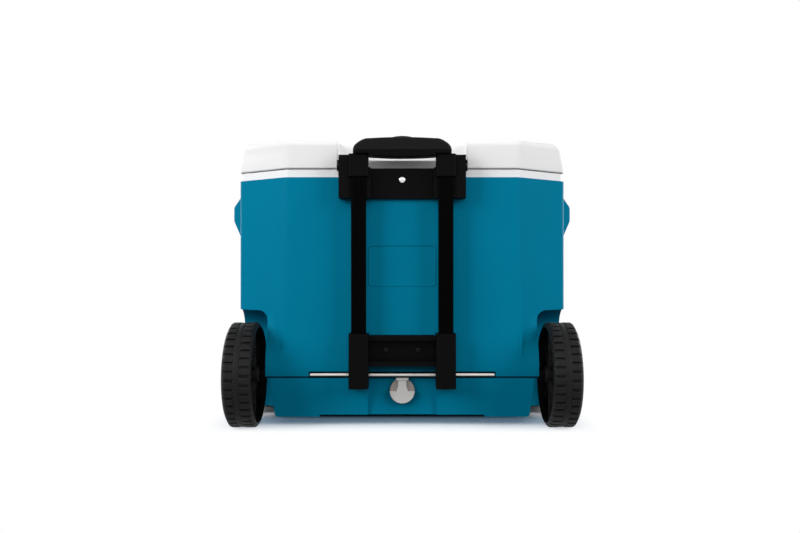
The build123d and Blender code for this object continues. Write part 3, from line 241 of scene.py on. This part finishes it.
def reshaped(node, body, finish, cuts, move, sharp=28.0, region=None):
    """A copy of a CAD solid with rows of points where cuts (axis, place) cross it, or cross
    the part of it that region picks, bent by move, which gives each point's new place."""
    mesh = bmesh.new()
    mesh.from_mesh(cad[node].data)
    bmesh.ops.remove_doubles(mesh, verts=mesh.verts, dist=1e-6)
    for axis, place in cuts:
        across = Vector((axis == 0, axis == 1, axis == 2))
        faces = [f for f in mesh.faces if region is None or region(f.calc_center_median())]
        cut = {e for f in faces for e in f.edges}
        bmesh.ops.bisect_plane(mesh, geom=[*faces, *cut, *{v for e in cut for v in e.verts}],
                               dist=1e-7, plane_co=across * place, plane_no=across)
    bmesh.ops.triangulate(mesh, faces=mesh.faces)
    data = bpy.data.meshes.new(node + "_reshaped")
    mesh.to_mesh(data)
    mesh.free()
    at = np.empty(len(data.vertices) * 3)
    data.vertices.foreach_get("co", at)
    data.vertices.foreach_set("co", move(at.reshape(-1, 3)).ravel())
    data.update()
    data.shade_smooth()
    data.set_sharp_from_angle(angle=math.radians(sharp))
    data.materials.append(finish.material)
    piece = bpy.data.objects.new(node + "_reshaped", data)
    bpy.context.scene.collection.objects.link(piece)
    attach(piece, body)
    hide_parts(node)
    return piece


rear_y, facet_x, facet_slope, skin_t = -0.15225, 0.190, 70 / 88, 0.0016
block_z, block_slope, well_roof_z = 0.098, math.tan(math.radians(62)), 0.188
blend_start_x, blend_end_x = 0.1805, 0.2235


def block_blended(at):
    """The rear skin beside each wheel is the nearer of a corner facet, so deep, and the axle
    block's sloping top, so high over the block. In place of their crease the facet, with the
    rounding at its foot, deepens with height, by 3t^2 - 2t^3 from the block's top to the roof
    of the wheel's well."""
    across = np.abs(at[:, 0])
    facet = np.clip((across - facet_x) * facet_slope, 0, None)
    block = np.clip((at[:, 2] - block_z) / block_slope, 0, None)
    depth = np.minimum(facet, block)
    rounding = at[:, 1] - rear_y - depth
    skin = ((np.abs(rounding) < skin_t) & (across > blend_start_x) & (across < blend_end_x)
            & (at[:, 2] > block_z))
    height = smooth(at[:, 2], block_z, well_roof_z)
    fill = np.clip(depth - facet * height, 0, None) + rounding * (1 - height)
    at[:, 1] -= np.where(skin, fill, 0)
    return at


def beside_wheel(centre):
    """Whether a face's middle lies where block_blended moves points, or close by."""
    return 0.178 < abs(centre.x) < 0.2236 and 0.094 < centre.z < 0.2 and centre.y < -0.11


columns = [(0, side * x) for side in (-1, 1) for x in np.arange(0.1815, blend_end_x, 0.0025)]
rows = [(2, z) for z in np.arange(0.0995, 0.196, 0.0035)]
body_shell = reshaped("outer_shell", "cooler", shell_plastic, columns + rows,
                      block_blended, region=beside_wheel)
soften_edges(body_shell, 0.0004)


# ---- Insulation and tub ---------------------------------------------------------------------
# Rigid polyurethane foam fills the wall between the shell and the white tub, whose turned-out
# rim shows between shell and lid. The tub is food-grade polyethylene, smoother than the shell.

foam = Finish("foam_filling", (0.8, 0.7, 0.42), 0.9)
cells = foam.node("ShaderNodeTexVoronoi", {"feature": "F1"},
                  {"Vector": foam.place, "Scale": 700.0})
foam.feed("Base Color", foam.tint(foam.noise(25.0), (0.78, 0.66, 0.36), (0.86, 0.77, 0.5)))
foam.feed("Roughness", 0.85 + foam.noise(60.0) * 0.12)
foam.bump(cells, 0.0006)
dress(foam, "body_foam")

tub_plastic = moulded("tub_plastic", (0.86, 0.86, 0.865), 0.4, 1400.0, 0.00003,
                      Specular_IOR_Level=0.3)
dress(tub_plastic, "inner_liner", edge=0.0006)


# ---- Drain ----------------------------------------------------------------------------------
# A light grey spout clamps a rubber gasket against the rear panel. Its flap is the same
# moulding compound and swings up on a pin to let the melt water out.

drain_grey, hollow_shade_brown = (0.7, 0.69, 0.68), (0.3, 0.25, 0.22)
drain_plastic = moulded("drain_plastic", drain_grey, 0.42, 1300.0, 0.00004,
                        Specular_IOR_Level=0.3)
# Painted shade: the deeper faces of spout and flap turn a blotchy brown, as their hollows lie in
# shade.
hollow = drain_plastic.step(drain_plastic.axis("Y"), -0.1462, -0.1448)
painted_hollow_shade = hollow * (0.6 + drain_plastic.noise(300.0) * 0.4)
drain_plastic.feed("Base Color", drain_plastic.tint(painted_hollow_shade, drain_grey, hollow_shade_brown))
dress(drain_plastic, "drain_spout", "drain_cap", edge=0.0004)

gasket_rubber = moulded("gasket_rubber", (0.018, 0.018, 0.018), 0.75, 900.0, 0.00006)
dress(gasket_rubber, "drain_gasket")


# ---- Axle -----------------------------------------------------------------------------------
# A bright zinc-plated steel rod, drawn, so its marks run along it. It lies in a channel across
# the body and shows through a slot. Black spacers keep the wheels off the body.

def steel(name, colour, roughness, stretch):
    """Steel with fine lines along the axis that stretch draws out, and faint dull spots."""
    finish = Finish(name, colour, roughness, Metallic=1.0)
    dull, line_gloss, spot_gloss = 0.75, 0.08, 0.15
    lines = finish.noise(1800.0, 2.0, stretch)
    spots = finish.step(finish.noise(120.0, 4.0), 0.6, 0.75)
    finish.feed("Base Color", finish.tint(spots, colour, [c * dull for c in colour]))
    finish.feed("Roughness",
                roughness - line_gloss / 2 + lines * line_gloss + spots * spot_gloss)
    finish.bump(lines, 0.00001)
    return finish


axle_low, axle_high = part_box("axle_rod")
axle_y, axle_z = (axle_low.y + axle_high.y) / 2, (axle_low.z + axle_high.z) / 2

# Painted shade darkens the top and the underside of the rod, by the edges of its channel, where
# the channel's lips would shade it.
rod_shade_colour = (0.02, 0.02, 0.02)
axle_steel = steel("axle_steel", (0.52, 0.5, 0.48), 0.4, (0.02, 1, 1))
off_middle = abs(axle_steel.axis("Z") - axle_z)
painted_rod_shade = axle_steel.step(off_middle, 0.0011, 0.0027) * painted_shade_share
axle_steel.feed("Base Color", axle_steel.tint(painted_rod_shade, axle_steel.fed("Base Color"), rod_shade_colour))
dress(axle_steel, "axle_rod")

bright_steel = steel("bright_steel", (0.7, 0.69, 0.68), 0.3, (1, 0.05, 1))
dress(bright_steel, "drain_cap_pin")

black_plastic = moulded("black_plastic", (0.0014, 0.0014, 0.0014), 0.5, 1200.0, 0.00005,
                        scuff=0.04, Specular_IOR_Level=0.04)
dress(black_plastic, "axle_spacer_left", "axle_spacer_right", edge=0.0003)


# ---- Wheels ---------------------------------------------------------------------------------
# Each wheel is one blow-moulded piece of hard black polyethylene with a barrel tread: two rows
# of lugs, set half a pitch apart, on either side of a plain band. It is dished on both faces.

wheel_w, wheel_r, lug_count, lug_h, lug_gap = 0.0475, 0.08497, 38, 0.003, 0.0034
band_low, band_high, spoke_count = 0.0189, 0.0285, 8


def surface(name, points, finish, sharp=40.0):
    """A closed skin of quads over a grid of points, both ways round, its doubles merged, its
    bare edges dropped and its faces turned outwards. Edges over sharp degrees stay crisp."""
    rows, columns = points.shape[:2]
    at = np.pad(np.arange(rows * columns).reshape(rows, columns), ((0, 1), (0, 1)), mode="wrap")
    quads = np.stack([at[:-1, :-1], at[:-1, 1:], at[1:, 1:], at[1:, :-1]], axis=-1)
    mesh = bpy.data.meshes.new(name)
    mesh.from_pydata(points.reshape(-1, 3), [], quads.reshape(-1, 4).tolist())
    solid = bmesh.new()
    solid.from_mesh(mesh)
    bmesh.ops.remove_doubles(solid, verts=solid.verts, dist=1e-6)
    bmesh.ops.dissolve_degenerate(solid, edges=solid.edges, dist=1e-7)
    bare = [edge for edge in solid.edges if not edge.link_faces]
    bmesh.ops.delete(solid, geom=bare, context="EDGES")
    bmesh.ops.recalc_face_normals(solid, faces=solid.faces)
    solid.to_mesh(mesh)
    solid.free()
    mesh.shade_smooth()
    mesh.set_sharp_from_angle(angle=math.radians(sharp))
    mesh.materials.append(finish.material)
    piece = bpy.data.objects.new(name, mesh)
    bpy.context.scene.collection.objects.link(piece)
    return piece


def profile(corners, step):
    """Points along straight runs between corners, at most step apart, each corner kept once."""
    corners = np.asarray(corners, dtype=float)
    runs = [np.linspace(a, b, max(int(np.hypot(*(b - a)) / step), 1), endpoint=False)
            for a, b in zip(corners, np.roll(corners, -1, axis=0))]
    return np.vstack(runs)


def wheel_skin(side):
    """The wheel's half section (x from its inner face, r from the axle) turned about the axle.
    r rises by a share of the lug height where a row has no groove, and x by spokes outside
    and ribs inside. Each falls to 0 past its own edge, by 3t^2 - 2t^3."""
    root, inner_edge, cavity_r, cavity_x = wheel_r - lug_h, 0.0788, 0.077, 0.0325
    hub, bore, web, dish = 0.013, 0.0041, wheel_w - 0.011, wheel_w - 0.0045
    by_band, longest_run = 0.0012, 0.0022
    section = profile([
        (0, bore), (wheel_w - 0.004, bore), (wheel_w - 0.004, hub - 0.001),
        (wheel_w - 0.005, hub), (web, hub + 0.005), (web, 0.066), (wheel_w - 0.001, 0.0715),
        (wheel_w, 0.0725), (wheel_w, 0.0755), (wheel_w - 0.0008, 0.0775),
        (wheel_w - 0.0022, 0.0799), (wheel_w - 0.0045, 0.0815), (wheel_w - 0.0065, root),
        (band_high + by_band, root), (band_high, root), (band_high - by_band, root),
        (band_low + by_band, root), (band_low, root), (band_low - by_band, root),
        (0.0055, root), (0.0032, 0.0816), (0.0012, 0.0805), (0, inner_edge), (0, 0.0775),
        (0.001, cavity_r), (0.0265, cavity_r), (cavity_x, 0.071), (cavity_x, 0.0155),
        (0.031, hub), (0.001, hub), (0, hub - 0.001)], longest_run)
    x, r = section[:, 0][:, None], section[:, 1][:, None]

    pitch = 2 * math.pi / lug_count
    ramps = np.array([-0.0024, -0.0019, -0.0015, -0.0011, 0, 0.0011, 0.0015, 0.0019, 0.0024])
    ramps = ramps / wheel_r
    angle = (np.concatenate([ramps, ramps + pitch / 2])[None, :]
             + np.arange(lug_count)[:, None] * pitch).reshape(1, -1)

    def lugs(turn):
        """1 on a lug and 0 in the grooves, lug_gap wide, between lugs."""
        away = np.abs((angle / pitch + turn + 0.5) % 1 - 0.5) * pitch * wheel_r
        return smooth(away, lug_gap / 2 - 0.0005, lug_gap / 2 + 0.0004)

    band_rise, gutter_rise, near, far = 0.85, 0.62, 0.0002, 0.0008
    outer = smooth(x, band_high - near, band_high + far)
    inner = 1 - smooth(x, band_low - far, band_low + near)
    band = (band_rise * smooth(x, band_low - near, band_low + far)
            * (1 - smooth(x, band_high - far, band_high + near)))
    band = np.maximum(band, gutter_rise * (1 - inner) * (1 - outer))
    tread = smooth(r, inner_edge, root - 0.0001) * (r > 0.0776)
    fade = np.minimum(smooth(x, -0.0005, 0.005), smooth(wheel_w - x, -0.0005, 0.006))
    height = outer * lugs(0) + inner * lugs(0.5) + band
    r_out = r + lug_h * height * tread * fade

    middle_x, spoke_x, rib_x = 0.034, dish - 0.0015, 0.006
    spoke_edge, rib_edge = (0.0052, 0.007), (0.0012, 0.0019)
    off_spoke = np.abs((angle / (2 * math.pi) * spoke_count + 0.5) % 1 - 0.5)
    off_spoke = off_spoke * 2 * math.pi / spoke_count * r
    outside = (x > middle_x) & (r > hub) & (r < 0.0716)
    inside = (x < middle_x) & (x > 0) & (r >= hub - 1e-5) & (r < cavity_r + 0.0001)
    spokes = np.maximum(spoke_x - x, 0) * (1 - smooth(off_spoke, *spoke_edge))
    ribs = np.maximum(x - rib_x, 0) * (1 - smooth(off_spoke, *rib_edge))
    x_out = x + np.where(outside, spokes, 0) - np.where(inside, ribs, 0)
    start = abs(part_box("wheel_right")[0].x)
    return np.stack([side * (start + x_out), axle_y + r_out * np.cos(angle),
                     axle_z + r_out * np.sin(angle)], axis=-1)


wheel_plastic = Finish("wheel_plastic", (0.004, 0.004, 0.0042), 0.5, Specular_IOR_Level=0.14)
from_axle = wheel_plastic.node("ShaderNodeVectorMath", {"operation": "SUBTRACT"},
                               {0: wheel_plastic.place, 1: (0, axle_y, axle_z)})
from_axle = wheel_plastic.node("ShaderNodeVectorMath", {"operation": "MULTIPLY"},
                               {0: from_axle, 1: (0, 1, 1)})
from_axle = wheel_plastic.node("ShaderNodeVectorMath", {"operation": "LENGTH"},
                               {0: from_axle}, out="Value")
worn = (wheel_plastic.step(from_axle, wheel_r - 0.0012, wheel_r - 0.0003)
        * wheel_plastic.step(wheel_plastic.noise(160.0, 5.0), 0.35, 0.7))
dust = wheel_plastic.step(wheel_plastic.noise(90.0, 5.0), 0.5, 0.8) * 0.5
clean_black, dusty_black = (0.003, 0.003, 0.0031), (0.005, 0.0049, 0.0047)
worn_black = (0.008, 0.008, 0.008)
unworn = wheel_plastic.tint(dust, clean_black, dusty_black)
wheel_plastic.feed("Base Color", wheel_plastic.tint(worn, unworn, worn_black))
wheel_plastic.feed("Roughness", 0.5 + worn * 0.15 + wheel_plastic.noise(40.0) * 0.08)
wheel_plastic.bump(wheel_plastic.noise(900.0), 0.00008)

for name, side, body in (("wheel_left", -1, "left_wheel"), ("wheel_right", 1, "right_wheel")):
    wheel = surface(name + "_moulding", wheel_skin(side), wheel_plastic)
    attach(wheel, body)
    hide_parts(name)
dress(bright_steel, "push_nut_left", "push_nut_right", edge=0.0003)


# ---- Brackets -------------------------------------------------------------------------------
# Two glass-filled nylon brackets screw to the rear panel and carry the tow handle's tubes.
# The upper one's ears also hold the lid's pivot pins.

dress(black_plastic, "upper_bracket", "lower_bracket", edge=0.0006)
dress(black_plastic, "hinge_pin_left", "hinge_pin_right")


# ---- Bracket screws -------------------------------------------------------------------------
# Pan-head screws with a cross recess and a coarse thread for plastic: one zinc-plated in the
# upper bracket's middle, two blackened ones in the lower bracket's bar.

head_h, shank_r, thread_pitch = 0.0027, 0.0023, 0.0017


def pan_screw(x, z, face_y, head_r, length, columns=48):
    """A screw along +Y from its head on face_y. The head is a flattened dome that sinks into a
    cross in its middle; the shank's radius follows a helix, and its end tapers to a point."""
    angle = np.linspace(0, 2 * math.pi, columns, endpoint=False)[None, :]
    t = np.linspace(0, 1, 28)[:, None]
    radius = head_r * np.sin(t * math.pi / 2)
    dome = -head_h * (0.25 + 0.75 * np.cos(t * math.pi / 2) ** 0.8)
    across = np.minimum(np.abs(radius * np.cos(angle)), np.abs(radius * np.sin(angle)))
    cross = ((1 - smooth(across, head_r * 0.12, head_r * 0.2))
             * (1 - smooth(radius, head_r * 0.5, head_r * 0.65)))
    head_y = dome + head_h * 0.75 * cross
    along = np.linspace(0, length, 90)[:, None]
    turn = (along / thread_pitch - angle / (2 * math.pi)) % 1
    taper = 1 - smooth(along, length * 0.8, length)
    shank = shank_r * (0.8 + 0.2 * (1 - np.abs(2 * turn - 1))) * (0.15 + 0.85 * taper)
    ring = 0 * angle
    radius = np.vstack([radius + ring, head_r + ring, shank, ring])
    y = np.vstack([head_y, ring, along + ring, length + ring])
    return np.stack([x + radius * np.cos(angle), face_y + y, z + radius * np.sin(angle)], axis=-1)


def joined(name, skins):
    """One object of several skins; the others' objects go."""
    whole = bmesh.new()
    for skin in skins:
        whole.from_mesh(skin.data)
    whole.to_mesh(skins[0].data)
    whole.free()
    for skin in skins[1:]:
        bpy.data.objects.remove(skin)
    skins[0].name = name
    return skins[0]


black_screw = steel("black_screw", (0.012, 0.012, 0.012), 0.42, (1, 0.05, 1))
for node, finish, slot, sides in (
        ("upper_bracket_screw", bright_steel, "bright_steel", [0]),
        ("lower_bracket_screws", black_screw, "black_steel", [-1, 1])):
    low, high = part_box(node)
    head_r, screw_z, face_y = (high.z - low.z) / 2, (low.z + high.z) / 2, low.y + head_h
    skins = [surface(node + "_threaded",
                     pan_screw(side * (high.x - head_r), screw_z, face_y, head_r,
                               high.y - face_y), finish)
             for side in sides]
    screw = joined(node + "_threaded", skins)
    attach(screw, "cooler")
    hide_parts(node)


# ---- Telescoping tubes ----------------------------------------------------------------------
# Rolled steel tubes, powder-coated black with a slight orange peel. The outer pair stands in
# the brackets under moulded collars; the inner pair slides up out of it on plastic bushes.

paint_black, slid_black = (0.0005, 0.0005, 0.0005), (0.004, 0.004, 0.004)
tube_paint = Finish("tube_paint", paint_black, 0.36, Specular_IOR_Level=0.015)
peel = tube_paint.noise(420.0, 1.0)
slid = tube_paint.step(tube_paint.noise(500.0, 3.0, (1, 1, 0.01)), 0.62, 0.75)
tube_paint.feed("Base Color", tube_paint.tint(slid * 0.3, paint_black, slid_black))
tube_paint.feed("Roughness", 0.34 + peel * 0.06 + slid * 0.1)
tube_paint.bump(peel, 0.00004)
dress(tube_paint, "outer_tube_left", "outer_tube_right", "inner_tube_left", "inner_tube_right")
dress(black_plastic, "collar_left", "collar_right", edge=0.0005)
dress(black_plastic, "slide_bush_left", "slide_bush_right")
dress(bright_steel, "lock_pin_left", "lock_pin_right", "release_yoke", "button_spring",
      "grip_screws")


# ---- Grip -----------------------------------------------------------------------------------
# Two black nylon halves clamp the inner tubes and house the release. The thumb button sits in
# the middle of the top half, a little proud of it.

# A darker, duller copy of the grip's black: painted shade for the lower half, under the top half.
grip_lower_painted_shade = moulded("grip_lower_painted_shade", (0.0012, 0.0012, 0.0013), 0.5, 1000.0, 0.00005, scuff=0.04,
                     Specular_IOR_Level=0.04)
grip_plastic = moulded("grip_plastic", (0.003, 0.003, 0.0031), 0.55, 1000.0, 0.00007,
                       scuff=0.05, Specular_IOR_Level=0.09)
top_half_w, grip_half_w, middle_z, top_z, lift = 0.052, 0.0805, 0.452, 0.468, 0.0033


def fuller_corners(at):
    """The upper corners' sloping cut is lifted by lift times a squared sine from the flat top
    to the end, in step with height over the grip's middle."""
    along = np.clip((np.abs(at[:, 0]) - top_half_w) / (grip_half_w - top_half_w), 0, 1)
    height = np.clip((at[:, 2] - middle_z) / (top_z - middle_z), 0, 1)
    at[:, 2] += lift * np.sin(math.pi * along) ** 2 * height
    return at


columns = [(0, side * x) for side in (-1, 1) for x in np.arange(0.053, 0.0785, 0.002)]
grip_top = reshaped("grip_upper", "tow_handle", grip_plastic, columns,
                    fuller_corners)
soften_edges(grip_top, 0.0005)
# The lower half gets the darker copy, painted shade.
dress(grip_lower_painted_shade, "grip_lower", edge=0.0005)
dress(grip_plastic, "release_button", edge=0.0003)


# ---- Lid ------------------------------------------------------------------------------------
# A foam-filled double skin of white polyethylene: the top skin with its cup holders and rear
# notch, and the inner skin whose plug fits the tub. It swings on the two pins in the ears.

end_r, lean, rise, lid_top = 0.028, 0.030, 0.047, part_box("lid_shell")[1].z
still_x, side_x = 0.212, 0.25


def leaning_sides(at):
    """A side as solid is upright, then a quarter circle end_r in radius; the real one is a
    quarter ellipse, lean wide and rise high. Points near a side move in by the difference."""
    over = at[:, 2] - lid_top
    wanted = lean * (1 - np.sqrt(1 - np.clip((over + rise) / rise, 0, 1) ** 2))
    given = end_r - np.sqrt(end_r ** 2 - np.clip(over + end_r, 0, end_r) ** 2)
    near_side = smooth(np.abs(at[:, 0]), still_x, side_x)
    at[:, 0] -= np.sign(at[:, 0]) * (wanted - given) * near_side
    return at


lid_plastic = moulded("lid_plastic", (0.83, 0.83, 0.835), 0.52, 1300.0, 0.00005,
                      Specular_IOR_Level=0.16)
rows = [(2, z) for z in np.linspace(0.4275, 0.4715, 20)]
lid_skin = reshaped("lid_shell", "lid", lid_plastic, rows, leaning_sides,
                    sharp=26.0)
soften_edges(lid_skin, 0.0006)
reshaped("lid_foam", "lid", foam, rows, leaning_sides, sharp=26.0)
dress(tub_plastic, "lid_liner")


# ---- Studio ---------------------------------------------------------------------------------
# A paper sweep under plain soft lamps, seen level from the tow handle's side. Seen by itself,
# mirrored or through glass it is white but for the cooler's shadow, and it lights as grey.

def looked_at(nodes):
    """1 for what the camera sees, by itself, mirrored or through glass, 0 for other bounces."""
    kinds = [nodes.node("ShaderNodeLightPath", out=kind)
             for kind in ("Is Camera Ray", "Is Glossy Ray", "Is Transmission Ray")]
    return nodes.larger(kinds[0], nodes.larger(kinds[1], kinds[2]))


paper = Finish("paper", (0.12, 0.12, 0.12), 0.9, Specular_IOR_Level=0.0)
span = np.array([-60.0, 60.0])
floor_mesh = bpy.data.meshes.new("floor")
floor_mesh.from_pydata([(x, y, cad_box[0][2]) for y in span for x in span], [],
                       [(0, 1, 3, 2)])
floor = bpy.data.objects.new("floor", floor_mesh)
bpy.context.scene.collection.objects.link(floor)
floor_mesh.materials.append(paper.material)

# The shadow shows under the cooler and fades out beside, before and behind it. Towards the tow
# handle's side a painted bluish glow lifts it, a painted reflection of the teal shell.
beside = paper.step(abs(paper.axis("X")), 0.25, 0.33)
before = paper.step(abs(paper.axis("Y")), 0.1, 0.215)
under = paper.step(paper.axis("Y"), -0.085, -0.045)
white = paper.node("ShaderNodeEmission", None, {"Color": (1, 1, 1, 1), "Strength": 1.0})
painted_teal_light = paper.node("ShaderNodeEmission", None, {"Color": (0.1, 0.17, 0.24, 1), "Strength": 0.8})
matt = paper.node("ShaderNodeBsdfDiffuse", None, {"Color": (0.9, 0.92, 0.95, 1)})
with_painted_teal_light = paper.node("ShaderNodeAddShader", None, {0: matt, 1: painted_teal_light})
lit = paper.node("ShaderNodeMixShader", None, {0: under, 1: with_painted_teal_light, 2: matt})
seen = paper.node("ShaderNodeMixShader", None,
                  {0: 1 - (1 - beside) * (1 - before), 1: lit, 2: white})
mixed = paper.node("ShaderNodeMixShader", None,
                   {0: looked_at(paper), 1: Feed(paper, paper.shader.outputs[0]), 2: seen})
paper.tree.links.new(mixed.socket, paper.tree.nodes["Material Output"].inputs[0])

world = bpy.data.worlds.new("studio")
bpy.context.scene.world = world
world.use_nodes = True
sky, sky_light, sky_seen = Nodes(world.node_tree), 0.14, 1.0
back = sky.tree.nodes["Background"]
back.inputs["Color"].default_value = (1, 1, 1, 1)
strength = sky.node("ShaderNodeMix", None, {0: looked_at(sky), 2: sky_light, 3: sky_seen})
sky.tree.links.new(strength.socket, back.inputs["Strength"])


def softbox(name, place, aim, size, watts):
    """A lamp with a cloth front, size metres wide and high, at place and turned to aim."""
    lamp = bpy.data.lights.new(name, "AREA")
    lamp.shape, lamp.size, lamp.size_y, lamp.energy = "RECTANGLE", size[0], size[1], watts
    box = bpy.data.objects.new(name, lamp)
    bpy.context.scene.collection.objects.link(box)
    box.location = place
    box.rotation_euler = (Vector(aim) - Vector(place)).to_track_quat("-Z", "Y").to_euler()


softbox("key_box", (-2.5, -1.6, 1.5), (0, 0, 0.25), (1.8, 1.8), 78)
softbox("front_box", (-0.1, -2.9, 1.7), (0, 0, 0.25), (2.4, 1.8), 24)
softbox("fill_box", (2.6, -1.5, 1.5), (0, 0, 0.25), (1.8, 1.8), 66)
softbox("top_box", (0, 0.2, 2.4), (0, 0, 0.2), (2.2, 2.2), 5)
softbox("back_left_box", (-1.7, 2.3, 0.9), (0, 0, 0.25), (1.4, 1.4), 26)
softbox("back_right_box", (1.9, 2.1, 0.9), (0, 0, 0.25), (1.4, 1.4), 34)

camera = bpy.data.cameras.new("camera")
camera.sensor_width, camera.lens = 36.0, 37.62
eye = bpy.data.objects.new("camera", camera)
bpy.context.scene.collection.objects.link(eye)
eye.location = (-0.0036, -1.51325, 0.2616)
eye.rotation_euler = (math.pi / 2, 0, 0)
bpy.context.scene.camera = eye
bpy.context.scene.view_settings.view_transform = "Standard"
